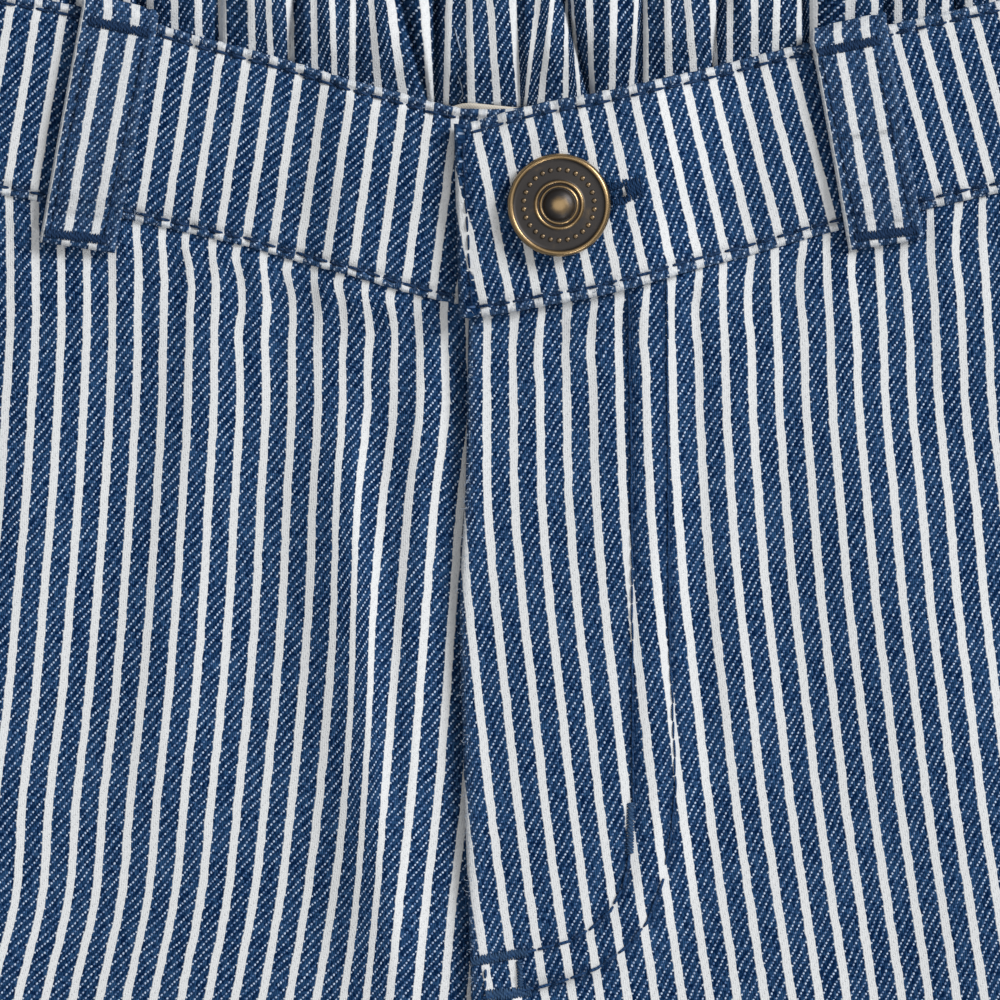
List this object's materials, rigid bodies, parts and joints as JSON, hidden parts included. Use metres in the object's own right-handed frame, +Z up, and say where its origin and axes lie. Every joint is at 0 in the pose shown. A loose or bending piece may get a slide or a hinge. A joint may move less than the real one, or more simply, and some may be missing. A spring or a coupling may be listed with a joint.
{
  "type": "child's denim trousers",
  "caption": "Child's striped denim trousers laid flat: button fly, gathered back waistband, belt loops and straight legs",
  "frame": {"origin": "middle of the trousers' box, on the surface that they lie on", "axes": "+X to the wearer's left, +Y up the garment to the waist, +Z up out of the front, away from the surface"},
  "size_m": [0.3658, 0.553, 0.0133],
  "materials": {
    "denim": "indigo and white striped cotton twill, matt",
    "label": "cream woven ribbon",
    "button_metal": "aged brass with a dark patina in its recesses"
  },
  "bodies": {
    "root": {"front_panel_left": "denim", "front_panel_right": "denim", "back_panel_left": "denim", "back_panel_right": "denim", "waistband_front_left": "denim", "waistband_front_right": "denim", "waistband_back": "denim", "belt_loop_left": "denim", "belt_loop_right": "denim", "inner_label": "label", "tack_button": "button_metal"}
  },
  "joints": []
}
